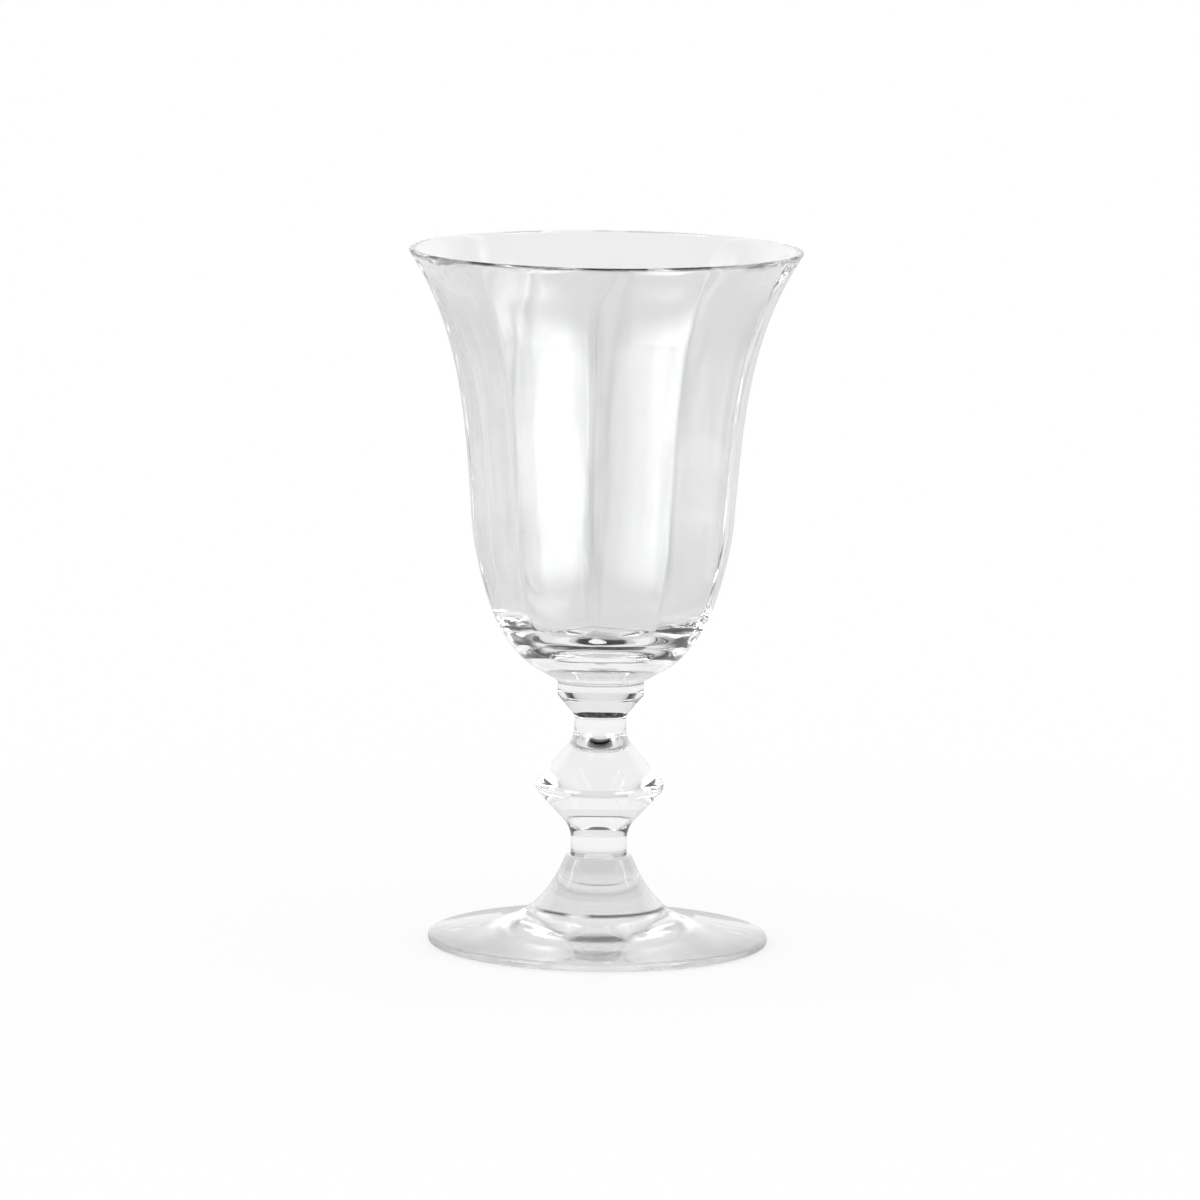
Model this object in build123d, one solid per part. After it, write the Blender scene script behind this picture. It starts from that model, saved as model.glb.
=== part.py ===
from build123d import *

import os
from math import asin, atan2, cos, hypot, pi, radians, sin, tan

# A water goblet in clear glass. Five gathers of glass, fused while hot, stand on one another along
# the Z axis: foot, foot post, knopped stem, collar and bowl. The origin is the centre of the foot,
# on the table. All sizes are in millimetres and all angles in degrees.

# Heights of the pieces, from the table to the rim
foot_height = 9.6
post_height = 13.8
stem_height = 36.2
collar_height = 9.6
bowl_height = 114.8

# Foot: a shallow cone that rises to the post, hollow below, standing on its outer ring
foot_radius = 44.8
foot_edge = 2.2
foot_bevel = 0.7
rise_radius = 23.0
rise_height = 5.9
rise_bevel = 4.0
ring_width = 6.0
hollow_depth = 1.6
hollow_run = 13.8

# Foot post: the flared lower end of the stem
post_base_radius = 17.4
post_top_radius = 8.6
post_hollow = 1.0
post_bevel = 0.5

# Stem: a pointed knop between two necks
lower_neck_radius = 7.4
upper_neck_radius = 6.85
knop_point_radius = 17.7
knop_point_height = 18.4
knop_lower_slope = 42.8
knop_upper_slope = 40.5
knop_rounding = 2.4
neck_bevel = 1.8

# Collar: a button of glass with an upright edge
collar_radius = 11.35
collar_edge = 3.2
collar_bevel = 0.5
collar_neck = 1.2
collar_neck_bevel = 0.8

# Bowl, outside: a flared wall above the waist, then belly and heel in tangent arcs, then a cone
rim_radius = 52.15
waist_radius = 34.45
waist_height = 42.8
wall_lean = 4.3
flare_power = 3.5
belly_radius = 28.3
belly_height = 17.8
heel_radius = 19.1
heel_height = 5.3

# Bowl, inside: the wall at the panel edges, the solid base, and the rounded corner of its flat floor
wall = 1.7
base_thickness = 10.5
floor_rounding = 18.0
lip_bevel = 0.5

# Optic panels: flattened facets of the inner wall, which fade out at the rim and over the floor
panel_count = 10
panel_turn = -95.0
panel_depth = 1.0
panel_fade = 22.0

# Seams, from the heights
post_base = foot_height
stem_base = post_base + post_height
collar_base = stem_base + stem_height
bowl_base = collar_base + collar_height
rim_height = bowl_base + bowl_height
waist_level = bowl_base + waist_height
floor_level = bowl_base + base_thickness


def turned(lines, rounded=(), bevelled=()):
    """A solid turned about Z from a half profile of (radius, height), with some corners eased."""
    profile = make_face(lines)
    for corner, radius in rounded:
        profile = fillet(profile.vertices().sort_by_distance(corner)[0], radius)
    for corner, length in bevelled:
        profile = chamfer(profile.vertices().sort_by_distance(corner)[0], length)
    return revolve(Plane.XZ * profile, Axis.Z)


def make_foot():
    """The round foot, on a ring about its edge, with a flat seat for the post."""
    ring_inner = foot_radius - ring_width
    edge_foot = (foot_radius, 0)
    edge_top = (foot_radius, foot_edge)
    rise = (rise_radius, rise_height)
    lines = Polyline(
        (0, hollow_depth),
        (ring_inner - hollow_run, hollow_depth),
        (ring_inner, 0),
        edge_foot,
        edge_top,
        rise,
        (post_base_radius, foot_height),
        (0, foot_height),
        close=True,
    )
    return turned(lines, bevelled=[(edge_foot, foot_bevel), (edge_top, foot_bevel), (rise, rise_bevel)])


def make_foot_post():
    """The flared post between foot and stem, a little wider at the top than the neck it carries."""
    seat = (post_base_radius, post_base)
    shoulder = (post_top_radius, stem_base)
    lines = [
        Line((0, post_base), seat),
        SagittaArc(seat, shoulder, post_hollow),
        Line(shoulder, (0, stem_base)),
        Line((0, stem_base), (0, post_base)),
    ]
    return turned(lines, bevelled=[(shoulder, post_bevel)])


def make_stem_knop():
    """The stem: two cones meet in the knop's rounded point and bend into the necks."""
    point_level = stem_base + knop_point_height
    lower_run = (knop_point_radius - lower_neck_radius) / tan(radians(knop_lower_slope))
    upper_run = (knop_point_radius - upper_neck_radius) / tan(radians(knop_upper_slope))
    lower_bend = (lower_neck_radius, point_level - lower_run)
    upper_bend = (upper_neck_radius, point_level + upper_run)
    point = (knop_point_radius, point_level)
    lines = Polyline(
        (0, stem_base),
        (lower_neck_radius, stem_base),
        lower_bend,
        point,
        upper_bend,
        (upper_neck_radius, collar_base),
        (0, collar_base),
        close=True,
    )
    bends = [(lower_bend, neck_bevel), (upper_bend, neck_bevel)]
    return turned(lines, rounded=[(point, knop_rounding)], bevelled=bends)


def make_bowl_collar():
    """The collar: it opens from the upper neck to the width of the bowl's base."""
    bend = (upper_neck_radius, collar_base + collar_neck)
    shoulder = (collar_radius, bowl_base - collar_edge)
    lines = Polyline(
        (0, collar_base),
        (upper_neck_radius, collar_base),
        bend,
        shoulder,
        (collar_radius, bowl_base),
        (0, bowl_base),
        close=True,
    )
    return turned(lines, bevelled=[(bend, collar_neck_bevel), (shoulder, collar_bevel)])


def flare_radius(level):
    """The outer radius of the flared wall, from the waist to the rim."""
    rise = level - waist_level
    lean = tan(radians(wall_lean))
    flare = rim_radius - waist_radius - lean * (rim_height - waist_level)
    return waist_radius + lean * rise + flare * (rise / (rim_height - waist_level)) ** flare_power


def bowl_blank():
    """The bowl's outer shape, solid to the rim."""
    steps = 8
    levels = [waist_level + (rim_height - waist_level) * k / steps for k in range(steps + 1)]
    flare = Spline(*[(flare_radius(level), level) for level in levels])
    belly = TangentArc(flare @ 0, (belly_radius, bowl_base + belly_height), tangent=-(flare % 0))
    heel = TangentArc(belly @ 1, (heel_radius, bowl_base + heel_height), tangent=belly % 1)
    base = Polyline(heel @ 1, (collar_radius, bowl_base), (0, bowl_base), (0, rim_height), flare @ 1)
    return turned([flare, belly, heel, base])


def panel_strength(level):
    """How far the panels are flattened at a height: nothing at the rim and on the floor, full between."""
    below_rim = (rim_height - level) / panel_fade
    above_floor = (level - floor_level) / panel_fade
    return max(0.0, min(1.0, below_rim, above_floor))


def panelled_section(radius, level):
    """A cross-section of the cavity: one flattened arc for each panel, from edge to edge."""
    step = 360 / panel_count
    flat = panel_depth * panel_strength(level)
    arcs = []
    for k in range(panel_count):
        start = panel_turn + k * step
        at = [radians(start), radians(start + step / 2), radians(start + step)]
        reach = [radius, radius - flat, radius]
        points = [(r * cos(a), r * sin(a), level) for r, a in zip(reach, at)]
        arcs.append(ThreePointArc(*points))
    return make_face(arcs)


def inner_belly():
    """The belly's inner arc, a wall inside the outer one, as its radius and its centre."""
    lean = radians(wall_lean)
    inward = waist_radius - belly_radius
    drop = waist_height - belly_height
    outer_arc = hypot(inward, drop) / 2 / sin(atan2(inward, drop) - lean)
    return outer_arc - wall, waist_radius - outer_arc * cos(lean), waist_level + outer_arc * sin(lean)


def bowl_cavity():
    """The space inside the bowl: a flat floor, its rounded corner, the belly and the flared wall."""
    belly_arc, belly_middle, belly_level = inner_belly()
    corner_level = floor_level + floor_rounding
    lean = asin((belly_level - corner_level) / (belly_arc - floor_rounding))
    flat_floor = belly_middle + (belly_arc - floor_rounding) * cos(lean)
    sections = []
    for k in range(3):
        turn = (pi / 2 - lean) * k / 3
        radius = flat_floor + floor_rounding * sin(turn)
        sections.append(panelled_section(radius, corner_level - floor_rounding * cos(turn)))
    for angle in (lean, (lean + radians(wall_lean)) / 2):
        radius = belly_middle + belly_arc * cos(angle)
        sections.append(panelled_section(radius, belly_level - belly_arc * sin(angle)))
    steps = 6
    for k in range(steps + 1):
        level = waist_level + (rim_height - waist_level) * k / steps
        sections.append(panelled_section(flare_radius(level) - wall, level))
    return loft(sections, ruled=True)


def make_bowl():
    """The hollow bowl with a bevelled lip."""
    bowl = bowl_blank() - bowl_cavity()
    lip = bowl.edges().group_by(Axis.Z)[-1]
    return chamfer(lip, lip_bevel)


os.makedirs("parts", exist_ok=True)
pieces = {
    "foot": make_foot(),
    "foot_post": make_foot_post(),
    "stem_knop": make_stem_knop(),
    "bowl_collar": make_bowl_collar(),
    "bowl": make_bowl(),
}
for name, piece in pieces.items():
    export_step(piece, f"parts/{name}.step")
    box = piece.bounding_box()
    print(name, len(piece.solids()), "solid", round(piece.volume / 1000, 2), "cm3", box.size)
print("brimful", round(bowl_cavity().volume / 1000, 1), "ml")
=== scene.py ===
# %% [markdown]
# A water goblet in clear glass.
# The real goblet is five gathers of glass, stuck together while hot: foot, post, knopped stem, collar and
# bowl. This lesson turns each of them from a wire profile, presses the optic panels into the bowl, and then
# mixes the glass and sets a bright studio round it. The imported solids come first, because they fix size and
# place.

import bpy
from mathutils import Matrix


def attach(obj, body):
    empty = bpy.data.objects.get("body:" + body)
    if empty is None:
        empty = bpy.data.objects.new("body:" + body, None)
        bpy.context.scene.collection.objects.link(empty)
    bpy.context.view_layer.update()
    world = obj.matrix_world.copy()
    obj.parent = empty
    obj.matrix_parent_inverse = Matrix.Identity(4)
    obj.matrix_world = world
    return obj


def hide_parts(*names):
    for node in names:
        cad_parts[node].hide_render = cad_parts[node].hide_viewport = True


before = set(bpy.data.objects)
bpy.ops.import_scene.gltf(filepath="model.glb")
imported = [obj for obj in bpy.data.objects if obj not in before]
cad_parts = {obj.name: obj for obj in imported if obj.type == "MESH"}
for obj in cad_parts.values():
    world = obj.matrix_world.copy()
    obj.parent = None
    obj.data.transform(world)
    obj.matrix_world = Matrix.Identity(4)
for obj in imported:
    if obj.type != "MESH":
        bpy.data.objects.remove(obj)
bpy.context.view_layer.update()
print("solids", sorted(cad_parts))

# %% [markdown]
# Glass is all about its edges, so a profile is drawn as a wire of straight runs with the corners still
# sharp, and each corner is then rounded to its own radius. A drawn curve would do as well, but a few sharp
# points are easier to read off a drawing, and the bevel tool turns a corner of a wire into a clean arc. An
# arc starts tan(turn / 2) radii from its corner, where turn is the change of direction there.

# %% Wire profiles with rounded corners
from math import atan2, cos, degrees, pi, radians, sin, tan

import bmesh
import bpy

MM = 0.001


def draw_wire(bm, points):
    """A wire in the XZ plane through points of (radius, height) in millimetres."""
    verts = [bm.verts.new((radius * MM, 0, height * MM)) for radius, height in points]
    for one, two in zip(verts, verts[1:]):
        bm.edges.new((one, two))


def corner_at(bm, point):
    """The vertex of the wire nearest to a point of (radius, height) in millimetres."""
    radius, height = point
    return min(bm.verts, key=lambda v: (v.co.x - radius * MM) ** 2 + (v.co.z - height * MM) ** 2)


def round_corners(bm, roundings):
    """Rounds corners of the wire, each given by its point, a radius in millimetres and its segments."""
    for point, radius, segments in roundings:
        vert = corner_at(bm, point)
        before, after = [edge.other_vert(vert).co - vert.co for edge in vert.link_edges]
        turn = pi - before.angle(after)
        reach = radius * MM * tan(turn / 2)
        bmesh.ops.bevel(bm, geom=[vert], offset=reach, offset_type="OFFSET", affect="VERTICES",
                        segments=segments, profile=0.5, material=-1)


print("profiles are drawn in millimetres, of", MM, "metres each")

# %% [markdown]
# Every piece is turned, as a glassmaker turns the rod at the bench, so one helper spins each profile a full
# circle about the upright axis. The spin leaves doubles where the circle closes and on the axis. They are
# merged before the normals are worked out, because a normal can't be trusted on a shape that is still open.
# Edges sharper than the crease angle keep their edge, and all others shade smoothly.

# %% Turn a profile into a piece
spin_steps = 240
crease = radians(40)
merge_gap = 0.01
seam_gap = 0.02


def turn_profile(bm):
    """Spins all of the wire a full circle about Z and closes the shape."""
    bmesh.ops.spin(bm, geom=bm.verts[:] + bm.edges[:], cent=(0, 0, 0), axis=(0, 0, 1), dvec=(0, 0, 0),
                   angle=2 * pi, steps=spin_steps, use_merge=True)
    bmesh.ops.remove_doubles(bm, verts=bm.verts[:], dist=merge_gap * MM)
    bmesh.ops.recalc_face_normals(bm, faces=bm.faces[:])


def is_fused(face, seam):
    """Whether a face lies in a seam, which is a disc of (radius, height) in millimetres."""
    radius, height = seam
    middle = face.calc_center_median()
    level = abs(middle.z - height * MM) < seam_gap * MM and abs(face.normal.z) > 0.999
    return level and middle.xy.length < radius * MM


def finish_piece(bm, name, node, seams):
    """Makes the object, gives its fused faces the second material, attaches it to the root body and hides its
    solid.
    """
    for face in bm.faces:
        face.smooth = True
        face.material_index = int(any(is_fused(face, seam) for seam in seams))
    mesh = bpy.data.meshes.new(name)
    bm.to_mesh(mesh)
    bm.free()
    mesh.set_sharp_from_angle(angle=crease)
    piece = bpy.data.objects.new(name, mesh)
    bpy.context.scene.collection.objects.link(piece)
    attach(piece, "root")
    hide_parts(node)
    print(name, len(mesh.vertices), "vertices", len(mesh.polygons), "faces")
    return piece


print("a turn has", spin_steps, "steps, and edges over", round(degrees(crease)), "degrees stay sharp")

# %% [markdown]
# The foot is a shallow cone that sweeps up to the post. Its edge is fire-polished to a soft round, and its
# underside is slightly hollow, so that only a ring near the edge touches the table. One wide rounding makes
# the sweep, and small ones make the edge and the ring.

# %% Foot
FOOT_SEAM = (17.4, 9.6)
foot_edge = (44.8, 2.2)
foot_sole = (44.8, 0.0)
foot_rise = (23.0, 5.9)
ring_inner = (39.0, 0.0)
hollow_edge = (25.0, 1.6)
foot_roundings = [(foot_rise, 28.0, 16), (foot_edge, 0.9, 6), (foot_sole, 0.9, 6),
                  (ring_inner, 30.0, 6), (hollow_edge, 160.0, 10)]

foot = bmesh.new()
draw_wire(foot, [(0, hollow_edge[1]), hollow_edge, ring_inner, foot_sole, foot_edge, foot_rise, FOOT_SEAM,
                 (0, FOOT_SEAM[1])])
round_corners(foot, foot_roundings)
turn_profile(foot)
goblet_foot = finish_piece(foot, "goblet_foot", "foot", [FOOT_SEAM])

# %% [markdown]
# The post is the flared end of the stem. Its flank is one hollow curve, which a single corner with a very
# large rounding gives, and it ends in a small step where the slimmer neck of the stem sits on it.

# %% Foot post
POST_SEAM = (7.4, 23.4)
post_bend = (11.9, 15.6)
post_shoulder = (8.6, 23.4)

post = bmesh.new()
draw_wire(post, [(0, FOOT_SEAM[1]), FOOT_SEAM, post_bend, post_shoulder, POST_SEAM, (0, POST_SEAM[1])])
round_corners(post, [(post_bend, 30.0, 14), (post_shoulder, 0.8, 6)])
turn_profile(post)
goblet_post = finish_piece(post, "goblet_post", "foot_post", [FOOT_SEAM, POST_SEAM])

# %% [markdown]
# The stem carries a pointed knop between two necks. Two straight flanks meet in the point, which keeps a
# small round edge from the tool, while the bends into the necks are wide and soft.

# %% Stem and knop
STEM_SEAM = (6.85, 59.6)
knop_point = (17.7, 41.8)
lower_bend = (7.4, 30.7)
upper_bend = (6.85, 54.5)

stem = bmesh.new()
draw_wire(stem, [(0, POST_SEAM[1]), POST_SEAM, lower_bend, knop_point, upper_bend, STEM_SEAM,
                 (0, STEM_SEAM[1])])
round_corners(stem, [(knop_point, 2.4, 14), (lower_bend, 7.0, 12), (upper_bend, 7.0, 12)])
turn_profile(stem)
goblet_stem = finish_piece(stem, "goblet_stem", "stem_knop", [POST_SEAM, STEM_SEAM])

# %% [markdown]
# The collar is the button of glass that joins stem and bowl. It opens from the neck in a soft bend and has
# an upright edge with a tight rounding below it.

# %% Collar
COLLAR_SEAM = (11.35, 69.2)
collar_bend = (6.85, 60.8)
collar_shoulder = (11.35, 66.0)

collar = bmesh.new()
draw_wire(collar, [(0, STEM_SEAM[1]), STEM_SEAM, collar_bend, collar_shoulder, COLLAR_SEAM,
                   (0, COLLAR_SEAM[1])])
round_corners(collar, [(collar_bend, 3.0, 8), (collar_shoulder, 0.9, 8)])
turn_profile(collar)
goblet_collar = finish_piece(collar, "goblet_collar", "bowl_collar", [STEM_SEAM, COLLAR_SEAM])

# %% [markdown]
# The bowl is one wire from the middle of its base, up the outside, over the lip and down to the flat floor
# inside. Below the waist, belly and heel are rounded corners, and so are the inner belly, which keeps an
# even wall, and the wide corner of the floor. Above the waist the wall flares to the rim by a power of its
# height, so those two runs are subdivided and each new vertex is moved out to the flare.

# %% Bowl profile
RIM = 184.0
WAIST = 112.0
FLOOR = 79.7
rim_radius = 52.15
waist_radius = 34.45
wall = 1.7
wall_lean = tan(radians(4.3))
flare_power = 3.5
flare_cuts = 35


def flare_radius(height):
    """The outer radius of the wall between waist and rim, in millimetres."""
    share = (height - WAIST) / (RIM - WAIST)
    flare = rim_radius - waist_radius - wall_lean * (RIM - WAIST)
    return waist_radius + wall_lean * (height - WAIST) + flare * share ** flare_power


def flare_run(bm, low, high, inset):
    """Subdivides the run between two points of the wire and moves its vertices out to the flare."""
    ends = {corner_at(bm, low), corner_at(bm, high)}
    run = next(edge for edge in bm.edges if set(edge.verts) == ends)
    made = bmesh.ops.subdivide_edges(bm, edges=[run], cuts=flare_cuts)
    for vert in {v for v in made["geom_split"] if isinstance(v, bmesh.types.BMVert)}:
        vert.co.x = (flare_radius(vert.co.z / MM) - inset) * MM


base_bend = (11.35, 69.9)
heel_end = (19.1, 74.5)
heel_corner = (25.14, 79.69)
belly_corner = (33.47, 98.99)
waist_outer = (waist_radius, WAIST)
rim_outer = (rim_radius, RIM)
rim_inner = (rim_radius - wall, RIM)
waist_inner = (waist_radius - wall, WAIST)
belly_inner = (31.95, 101.36)
floor_corner = (23.95, FLOOR)

bowl = bmesh.new()
draw_wire(bowl, [(0, COLLAR_SEAM[1]), COLLAR_SEAM, base_bend, heel_end, heel_corner, belly_corner,
                 waist_outer, rim_outer, rim_inner, waist_inner, belly_inner, floor_corner, (0, FLOOR)])
flare_run(bowl, waist_outer, rim_outer, 0)
flare_run(bowl, waist_inner, rim_inner, wall)
print("bowl wire", len(bowl.verts), "vertices")

# %% [markdown]
# The corners below the waist come next, and with them the lip, which is melted round at the furnace: its
# two corners take almost all of the wall. The vertices of the inner wall then get a mark on the wire. The
# spin copies the mark round, and so the panels can find the inner wall afterwards.

# %% Bowl roundings
lip_radius = 0.68
outer_roundings = [(base_bend, 1.1, 5), (heel_end, 14.0, 5),
                   (heel_corner, 33.0, 12), (belly_corner, 77.0, 14)]
lip_roundings = [(rim_outer, lip_radius, 10), (rim_inner, lip_radius, 6)]
inner_roundings = [(belly_inner, 75.0, 14), (floor_corner, 17.7, 22)]
round_corners(bowl, outer_roundings + lip_roundings + inner_roundings)
print("bowl wire", len(bowl.verts), "vertices once rounded")

# %% Mark the inner wall
lip_depth = 1.5


def walk_wire(vert, top):
    """The vertices of the wire from its free end up to a height in millimetres."""
    path = [vert]
    while path[-1].co.z < top * MM:
        beside = [edge.other_vert(path[-1]) for edge in path[-1].link_edges]
        path.append(next(v for v in beside if v not in path))
    return path


inside_mark = bowl.verts.layers.int.new("inside")
inner_wall = walk_wire(corner_at(bowl, (0, FLOOR)), RIM - lip_depth)
for vert in inner_wall:
    vert[inside_mark] = 1
print("inner wall", len(inner_wall), "vertices of the wire")

# %% [markdown]
# The optic panels are what makes this bowl: ten flattened facets, blown into the inner wall in a ribbed
# mould, while the outside stays round. They fade out just below the rim, and slowly above the floor. The
# wire is first turned on to a panel edge, so that after the spin a column of vertices runs down every
# ridge, and then each inner vertex moves in by the rise of a shallow parabola over its panel.

# %% Bowl with pressed panels
from mathutils import Matrix

PANELS = 10
PANEL_TURN = -95.0
panel_depth = 1.0
rim_fade = 9.0
floor_fade = 22.0


def panel_strength(height):
    """Nothing at the rim and on the floor, and full between them."""
    return max(0.0, min(1.0, (RIM - height) / rim_fade, (height - FLOOR) / floor_fade))


def press_panel(vert):
    """Moves a vertex of the inner wall in towards the axis, most in the middle of its panel."""
    angle = degrees(atan2(vert.co.y, vert.co.x)) - PANEL_TURN
    width = 360 / PANELS
    across = 2 * (angle % width) / width - 1
    dip = panel_depth * MM * panel_strength(vert.co.z / MM) * (1 - across ** 2)
    vert.co.xy -= vert.co.xy.normalized() * dip


to_edge = Matrix.Rotation(radians(PANEL_TURN), 3, "Z")
bmesh.ops.rotate(bowl, verts=bowl.verts[:], cent=(0, 0, 0), matrix=to_edge)
turn_profile(bowl)
pressed = [vert for vert in bowl.verts if vert[inside_mark]]
for vert in pressed:
    press_panel(vert)
print("pressed", len(pressed), "of", len(bowl.verts), "vertices")
goblet_bowl = finish_piece(bowl, "goblet_bowl", "bowl", [COLLAR_SEAM])
goblet = [goblet_foot, goblet_post, goblet_stem, goblet_collar, goblet_bowl]

# %% [markdown]
# Materials are built from shader nodes, and a few helpers keep that short. One feeds a socket with a number
# or with another node's output, and the others add the kinds of node that are used most: maths on numbers
# and on vectors, noise, a remap that turns one range of values into another, and a blend of two colours.

# %% Shader helpers
def feed(tree, socket, value):
    """Links another node's output to a socket, or sets the socket to a plain value."""
    if isinstance(value, bpy.types.NodeSocket):
        tree.links.new(value, socket)
    else:
        socket.default_value = value


def node(tree, kind, **inputs):
    """Adds a shader node and feeds the named inputs."""
    made = tree.nodes.new(kind)
    for name, value in inputs.items():
        feed(tree, made.inputs[name.replace("_", " ")], value)
    return made


def maths(tree, operation, first, second=0.0):
    """The result of a Math node on two values."""
    step = tree.nodes.new("ShaderNodeMath")
    step.operation = operation
    for socket, value in zip(step.inputs, (first, second)):
        feed(tree, socket, value)
    return step.outputs["Value"]


def vector_maths(tree, operation, first, second=(0, 0, 0)):
    """The outputs of a Vector Math node on two vectors."""
    step = tree.nodes.new("ShaderNodeVectorMath")
    step.operation = operation
    for socket, value in zip(step.inputs, (first, second)):
        feed(tree, socket, value)
    return step.outputs


def noise(tree, place, scale, detail):
    """Smooth noise between 0 and 1, with spots about one unit over the scale wide."""
    return node(tree, "ShaderNodeTexNoise", Vector=place, Scale=scale, Detail=detail).outputs["Fac"]


def remap(tree, value, low, high, start=0.0, end=1.0):
    """Turns the range from low to high into the range from start to end."""
    change = node(tree, "ShaderNodeMapRange", Value=value, From_Min=low, From_Max=high,
                  To_Min=start, To_Max=end)
    return change.outputs["Result"]


def blend(tree, factor, first, second):
    """A mix of two colours, on the colour sockets of a Mix node, which also has sockets for other types."""
    mix = node(tree, "ShaderNodeMix", Factor=factor)
    mix.data_type = "RGBA"
    feed(tree, mix.inputs[6], first)
    feed(tree, mix.inputs[7], second)
    return mix.outputs[2]


print("shader helpers", [tool.__name__ for tool in (feed, node, maths, vector_maths, noise, remap, blend)])

# %% [markdown]
# Glass is a trace below white and a trace cool, and its colour drifts a little. Faint grey streaks along the
# panel edges are painted shade, which darkens the wall in stretches near the ridges. They run up the wall and
# out with the flare, so their noise is read from the bearing of a point and hardly from its height.

# %% Painted shade in streaks along the panel edges
# The zone is in panel widths from the middle of a panel, and the last two are millimetres above the floor
# and below the rim
edge_zone = (0.22, 0.5)
streak_scale = 11.0
streak_cut = (0.42, 0.62)
streak_rise = 2
streaks_low = (5, 25)
streaks_high = (7, 26)


def panel_edges(tree, place):
    """One at the bowl's panel edges, falling to nothing towards the middle of a panel."""
    across, away = node(tree, "ShaderNodeSeparateXYZ", Vector=place).outputs[:2]
    turn = maths(tree, "MULTIPLY", maths(tree, "ARCTAN2", away, across), PANELS / (2 * pi))
    share = maths(tree, "FRACT", maths(tree, "SUBTRACT", turn, PANEL_TURN * PANELS / 360))
    off_middle = maths(tree, "ABSOLUTE", maths(tree, "SUBTRACT", share, 0.5))
    return remap(tree, off_middle, *edge_zone)


def bowl_streak_shade(tree, place, flat, height):
    """Streaks of painted shade on the bowl's wall, which fade out towards the floor and towards the rim."""
    bearing = vector_maths(tree, "NORMALIZE", flat)["Vector"]
    slow_rise = vector_maths(tree, "MULTIPLY", place, (0, 0, streak_rise))["Vector"]
    drawn = vector_maths(tree, "ADD", bearing, slow_rise)["Vector"]
    streaks = remap(tree, noise(tree, drawn, streak_scale, 2.0), *streak_cut)
    above_floor = remap(tree, height, *((FLOOR + rise) * MM for rise in streaks_low))
    below_rim = remap(tree, height, *((RIM - drop) * MM for drop in streaks_high))
    on_wall = maths(tree, "MULTIPLY", above_floor, below_rim)
    return maths(tree, "MULTIPLY", maths(tree, "MULTIPLY", streaks, panel_edges(tree, place)), on_wall)


print("streaks along", PANELS, "panel edges, the first at", PANEL_TURN, "degrees")

# %% [markdown]
# Where the post is stuck to the foot, a dark line in stretches is painted shade, for the shade that the
# concave corner of the join makes by refraction. Above it, a faint grey band of painted shade goes round the
# shoulder. Both lie at known levels, so a ring that falls off with the distance from a level draws them.

# %% Painted shade on the post
# Levels and reaches are in millimetres
# The line of painted shade at the post's base
join_shade_level = FOOT_SEAM[1] + 0.1
join_shade_reach = 0.55
join_shade_scale = 60.0
join_shade_cut = (0.40, 0.50)
# The band of painted shade round the post's shoulder
band_level = POST_SEAM[1] - 1.8
band_reach = 3.0
band_strength = 0.3
ring_core = 0.4


def ring(tree, height, level, reach):
    """One at a level, falling to nothing at some reach above and below it."""
    away = maths(tree, "ABSOLUTE", maths(tree, "SUBTRACT", height, level * MM))
    return remap(tree, away, reach * MM, ring_core * reach * MM)


def post_shade(tree, place, height):
    """Painted shade: stretches of a dark line at the post's base, and a faint band round its shoulder."""
    stretches = remap(tree, noise(tree, place, join_shade_scale, 1.0), *join_shade_cut)
    join_shade = maths(tree, "MULTIPLY", ring(tree, height, join_shade_level, join_shade_reach), stretches)
    band = maths(tree, "MULTIPLY", ring(tree, height, band_level, band_reach), band_strength)
    return maths(tree, "ADD", join_shade, band)


print("fold at", round(join_shade_level, 2), "mm, band at", round(band_level, 2), "mm")

# %% [markdown]
# At the lip much of the light is caught in the wall and runs round inside it, so the outer half of the lip
# looks dark in stretches. A darker colour there, broken up by noise, stands for that. It could be left to
# the light alone, but then it would come and go with every change of the room.

# %% Colour of the glass
LIGHT_GLASS = (0.842, 0.845, 0.844, 1)
DEEP_GLASS = (0.818, 0.822, 0.822, 1)
# Painted shade: the streaks near the panel edges, the line and band on the post, and the lip
STREAK_SHADE_GLASS = (0.670, 0.675, 0.675, 1)
JOIN_SHADE_GLASS = (0.050, 0.055, 0.055, 1)
LIP_GLASS = (0.010, 0.012, 0.012, 1)
drift_scale = 24.0
# The lip's outer half starts between these radii, and its top between these drops below the rim
lip_outside = (50.9, 51.2)
lip_drop = (1.0, 0.4)
lip_scale = 70.0
lip_cut = (0.46, 0.53)


def lip_line(tree, place, flat, height):
    """One on stretches of the lip's outer half, and nothing elsewhere."""
    reach = vector_maths(tree, "LENGTH", flat)["Value"]
    outside = remap(tree, reach, *(radius * MM for radius in lip_outside))
    on_top = remap(tree, height, *((RIM - drop) * MM for drop in lip_drop))
    stretches = remap(tree, noise(tree, place, lip_scale, 1.0), *lip_cut)
    return maths(tree, "MULTIPLY", maths(tree, "MULTIPLY", outside, on_top), stretches)


def glass_colour(tree, place, height):
    """The body colour, with painted shade in the bowl's streaks, on the post and in the lip's dark stretches.
    """
    flat = vector_maths(tree, "MULTIPLY", place, (1, 1, 0))["Vector"]
    body = blend(tree, noise(tree, place, drift_scale, 1.0), DEEP_GLASS, LIGHT_GLASS)
    streak_shaded = blend(tree, bowl_streak_shade(tree, place, flat, height), body, STREAK_SHADE_GLASS)
    post_shaded = blend(tree, post_shade(tree, place, height), streak_shaded, JOIN_SHADE_GLASS)
    return blend(tree, lip_line(tree, place, flat, height), post_shaded, LIP_GLASS)


print("glass colours", DEEP_GLASS[:3], "to", LIGHT_GLASS[:3])
print("streaks", STREAK_SHADE_GLASS[:3], "join_shade", JOIN_SHADE_GLASS[:3], "lip", LIP_GLASS[:3])

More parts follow.
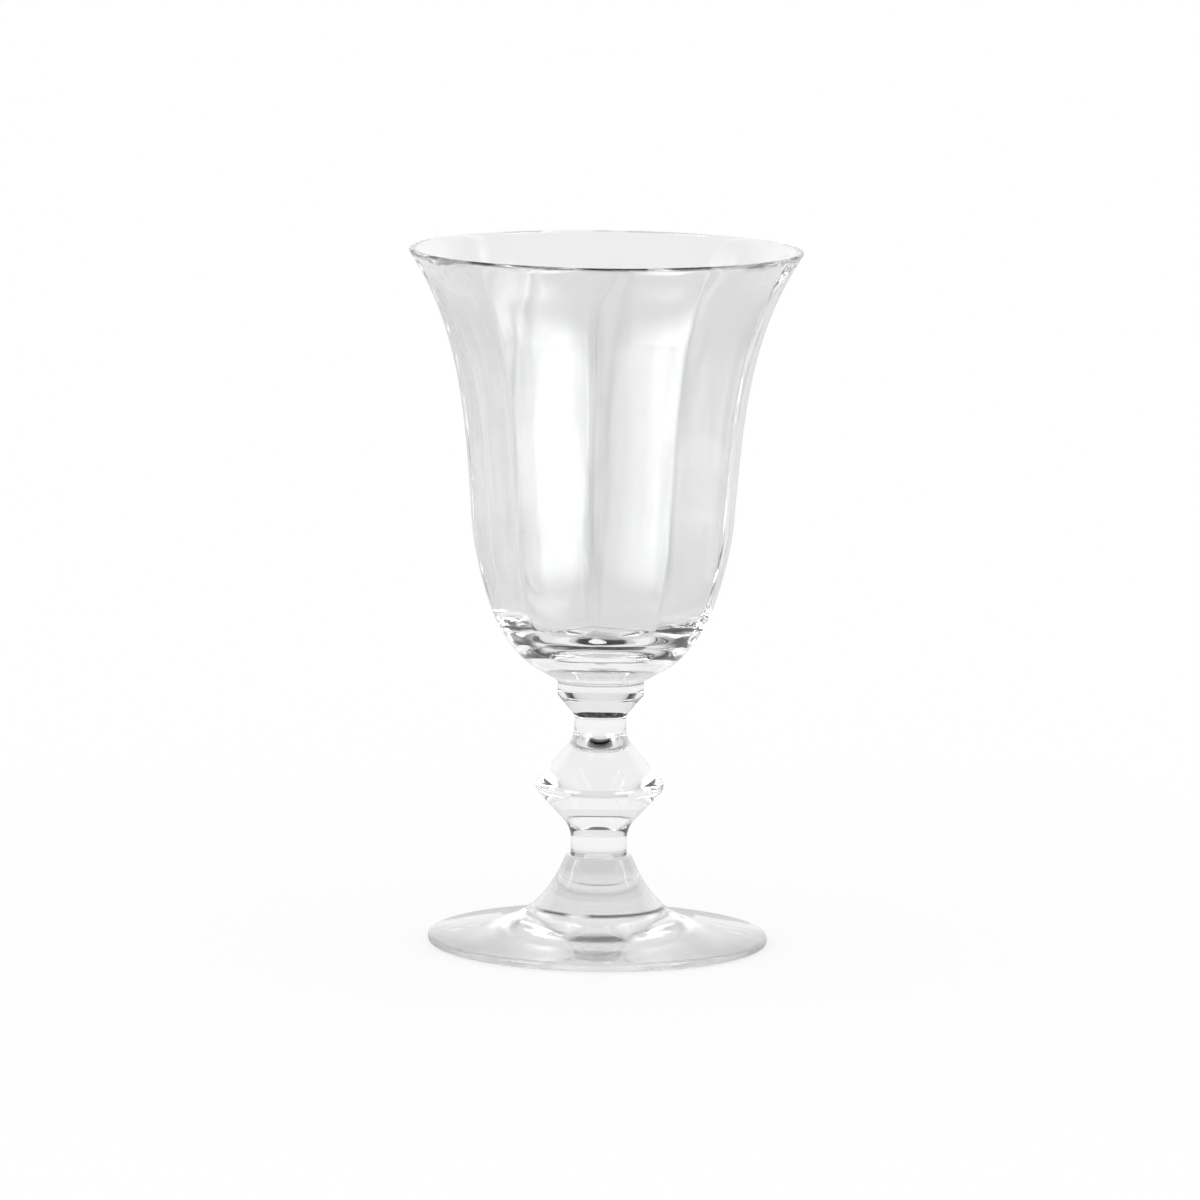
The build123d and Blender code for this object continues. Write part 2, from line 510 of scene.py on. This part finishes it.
# %% [markdown]
# Blown glass is never quite even. The heat leaves a slow ripple, and the draw leaves faint upright waves,
# which are the same noise stretched along the axis. Together they bend the normals a little. Handling
# leaves faint dull smears, and the underside of the foot is dull all over, as it slides on tables.

# %% Surface of the glass
ripple_scale, ripple_share = 70.0, 0.2
wave_scale, wave_share, wave_stretch = 130.0, 0.8, 0.06
unevenness = 0.09
smear_scale = 42.0
smear_cut = (0.55, 0.80)
smear_dullness = 0.015
sole_dullness = 0.2
sole_levels = (2.0, 1.4)


def glass_normal(tree, place):
    """Normals that waver with a ripple and with upright waves."""
    upright = vector_maths(tree, "MULTIPLY", place, (1, 1, wave_stretch))["Vector"]
    ripple = maths(tree, "MULTIPLY", noise(tree, place, ripple_scale, 1.0), ripple_share)
    wave = maths(tree, "MULTIPLY", noise(tree, upright, wave_scale, 1.0), wave_share)
    uneven = maths(tree, "ADD", ripple, wave)
    return node(tree, "ShaderNodeBump", Height=uneven, Strength=unevenness, Distance=MM).outputs["Normal"]


def glass_dullness(tree, place, height):
    """Roughness: smears on a clear surface, and a dull underside."""
    smear = remap(tree, noise(tree, place, smear_scale, 4.0), *smear_cut, 0.0, smear_dullness)
    underside = remap(tree, height, *(level * MM for level in sole_levels), 0.0, sole_dullness)
    return maths(tree, "ADD", smear, underside)


print("dullness up to", smear_dullness, "in smears and", sole_dullness, "under the foot")

# %% [markdown]
# With its colour and surface ready, clear glass is a Principled shader with full transmission and the index
# of refraction of soda glass. All of its noise is on Object coordinates, in metres, so it stays with the
# goblet.

# %% Clear glass
soda_glass_index = 1.5


def clear_glass():
    """The goblet's one glass, from its colour, its uneven surface and its dullness."""
    material = bpy.data.materials.new("clear_glass")
    material.use_nodes = True
    tree = material.node_tree
    glass = tree.nodes["Principled BSDF"]
    glass.inputs["Transmission Weight"].default_value = 1.0
    glass.inputs["IOR"].default_value = soda_glass_index
    place = tree.nodes.new("ShaderNodeTexCoord").outputs["Object"]
    height = node(tree, "ShaderNodeSeparateXYZ", Vector=place).outputs["Z"]
    feed(tree, glass.inputs["Base Color"], glass_colour(tree, place, height))
    feed(tree, glass.inputs["Normal"], glass_normal(tree, place))
    feed(tree, glass.inputs["Roughness"], glass_dullness(tree, place, height))
    return material


glass_finish = clear_glass()
print("clear glass", len(glass_finish.node_tree.nodes), "nodes")

# %% [markdown]
# Where two gathers are fused there is no surface, and light goes straight on. The meeting faces therefore
# get a fully transparent material. With glass on them, light would leave one piece and enter the next
# through a film of air that the real goblet doesn't have, and the seams would shine like mirrors.

# %% Fused seams
def fused_seam():
    """A material that lets light go straight on."""
    material = bpy.data.materials.new("fused_seam")
    material.use_nodes = True
    tree = material.node_tree
    tree.nodes.clear()
    clear = node(tree, "ShaderNodeBsdfTransparent", Color=(1, 1, 1, 1))
    output = tree.nodes.new("ShaderNodeOutputMaterial")
    tree.links.new(clear.outputs["BSDF"], output.inputs["Surface"])
    return material


seam_finish = fused_seam()
for piece in goblet:
    piece.data.materials.append(glass_finish)
    piece.data.materials.append(seam_finish)
    print(piece.name, [slot.material.name for slot in piece.material_slots])

# %% [markdown]
# The floor is pale and keeps the goblet's soft shadow. The camera and the glass see it lifted to white by
# a little emission, which the Light Path node gives to camera, glossy and transmission rays alone, so that
# it adds no light to the scene. What the glass mirrors is lifted less than what is seen through it, which
# keeps some depth in the front of the bowl.

# %% Floor
floor_size = 24
floor_gap = 0.15
PAPER = (0.28, 0.28, 0.28, 1)
camera_lift, glass_lift, through_lift = 0.72, 0.36, 0.48


def looking_rays(tree):
    """Outputs that are one for a ray of the camera, off or through the glass, and through it alone."""
    path = tree.nodes.new("ShaderNodeLightPath").outputs
    first_light = maths(tree, "LESS_THAN", path["Diffuse Depth"], 0.5)
    glass_ray = maths(tree, "MAXIMUM", path["Is Glossy Ray"], path["Is Transmission Ray"])
    through_ray = maths(tree, "MULTIPLY", path["Is Transmission Ray"], first_light)
    return path["Is Camera Ray"], maths(tree, "MULTIPLY", glass_ray, first_light), through_ray


def pale_floor():
    """Grey paper, which the camera and the glass see lifted towards white."""
    material = bpy.data.materials.new("pale_floor")
    material.use_nodes = True
    tree = material.node_tree
    paper = tree.nodes["Principled BSDF"]
    paper.inputs["Base Color"].default_value = PAPER
    paper.inputs["Roughness"].default_value = 1.0
    paper.inputs["Specular IOR Level"].default_value = 0.0
    paper.inputs["Emission Color"].default_value = (1, 1, 1, 1)
    lift = 0.0
    for ray, strength in zip(looking_rays(tree), (camera_lift, glass_lift, through_lift)):
        lift = maths(tree, "ADD", lift, maths(tree, "MULTIPLY", ray, strength))
    feed(tree, paper.inputs["Emission Strength"], lift)
    return material


bpy.ops.mesh.primitive_plane_add(size=floor_size)
floor = bpy.context.object
floor.name = "floor"
floor.location.z = -floor_gap * MM
floor.data.materials.append(pale_floor())
print("floor", tuple(floor.dimensions))

# %% [markdown]
# A glass is lit by what stands round it. The world is plain white for the camera and for the floor's light.
# Rays off and through the glass see a studio in it: white behind, a softbox each side of the camera, a
# darker gap between them, grey screens at the sides with a narrow strip light in each, and a dark ceiling
# that comes down towards the camera. Softboxes and strips make the bright panels and streaks, and the dark
# parts draw the edges. Levels are shares of the softboxes' brightness, by bearing from the camera.

# %% Studio world
SOFTBOX = 7.5
STRIP = 0.4
WHITE = 1 / SOFTBOX
SCREEN = 0.12 / SOFTBOX
GAP = 0.20 / SOFTBOX
CEILING = 0.03
BOUNCES = 96
ceiling_tilt = radians(14)
ceiling_low = radians(27)
ceiling_high = radians(39)
left_side = [(-132, WHITE), (-116, SCREEN), (-97, SCREEN), (-93, STRIP), (-89, STRIP), (-85, SCREEN)]
left_box = [(-69, SCREEN), (-59, 1.0), (-40, 1.0), (-32, GAP)]
right_box = [(25, GAP), (31, 1.0), (61, 1.0), (71, SCREEN)]
right_side = [(85, SCREEN), (89, STRIP), (93, STRIP), (97, SCREEN), (116, SCREEN), (132, WHITE)]
studio_bands = left_side + left_box + right_box + right_side


def studio_walls(tree, across, towards):
    """The studio's levels round the horizon, from a colour ramp over the bearing."""
    turn = maths(tree, "DIVIDE", maths(tree, "ARCTAN2", across, towards), 2 * pi)
    ramp = node(tree, "ShaderNodeValToRGB", Fac=maths(tree, "ADD", turn, 0.5))
    stops = ramp.color_ramp.elements
    while len(stops) < len(studio_bands):
        stops.new(0.5)
    for stop, (bearing, level) in zip(stops, studio_bands):
        stop.position = bearing / 360 + 0.5
        stop.color = (level, level, level, 1)
    return ramp.outputs["Color"]


def studio_ceiling(tree, upward, towards):
    """Full brightness low down, which fades into a dark ceiling that is tilted towards the camera."""
    upright = maths(tree, "MULTIPLY", upward, cos(ceiling_tilt))
    forward = maths(tree, "MULTIPLY", towards, sin(ceiling_tilt))
    height = maths(tree, "ARCSINE", maths(tree, "ADD", upright, forward))
    ceiling = node(tree, "ShaderNodeMapRange", Value=height, From_Min=ceiling_low, From_Max=ceiling_high,
                   To_Min=SOFTBOX, To_Max=CEILING)
    ceiling.interpolation_type = "SMOOTHSTEP"
    return ceiling.outputs["Result"]


def studio_world():
    """White for the camera and the floor's light, and the studio for rays off and through the glass."""
    world = bpy.data.worlds.new("studio")
    world.use_nodes = True
    tree = world.node_tree
    sky = tree.nodes["Background"]
    sky.inputs["Color"].default_value = (1, 1, 1, 1)
    place = tree.nodes.new("ShaderNodeTexCoord").outputs["Generated"]
    across, away, upward = node(tree, "ShaderNodeSeparateXYZ", Vector=place).outputs
    towards = maths(tree, "MULTIPLY", away, -1.0)
    walls = studio_walls(tree, across, towards)
    studio = maths(tree, "MULTIPLY", walls, studio_ceiling(tree, upward, towards))
    glass_ray = looking_rays(tree)[1]
    level = node(tree, "ShaderNodeMix", Factor=glass_ray, A=1.0, B=studio)
    feed(tree, sky.inputs["Strength"], level.outputs["Result"])
    return world


scene = bpy.context.scene
scene.world = studio_world()
scene.view_settings.view_transform = "Standard"
scene.cycles.max_bounces = BOUNCES
scene.cycles.transmission_bounces = BOUNCES
scene.cycles.glossy_bounces = BOUNCES
scene.cycles.transparent_max_bounces = BOUNCES
print("studio", len(scene.world.node_tree.nodes), "nodes")

# %% [markdown]
# The photograph looks slightly down on the goblet from far away through a long lens, and stands a little
# askew. The camera is placed from where the ellipses of rim and foot and the heights of the seams fall.

# %% Camera
from mathutils import Vector

camera = bpy.data.objects.new("camera", bpy.data.cameras.new("camera"))
scene.collection.objects.link(camera)
camera.data.lens = 247.5
camera.data.sensor_width = 36.0
camera.location = (0, -2.15, 0.395)
aim = Vector((-0.0005, 0, 0.0912))
askew = Matrix.Rotation(radians(0.75), 3, "Z")
look = (aim - camera.location).to_track_quat("-Z", "Y").to_matrix() @ askew
camera.rotation_euler = look.to_euler()
scene.camera = camera
print("camera", tuple(camera.location), "lens", camera.data.lens)
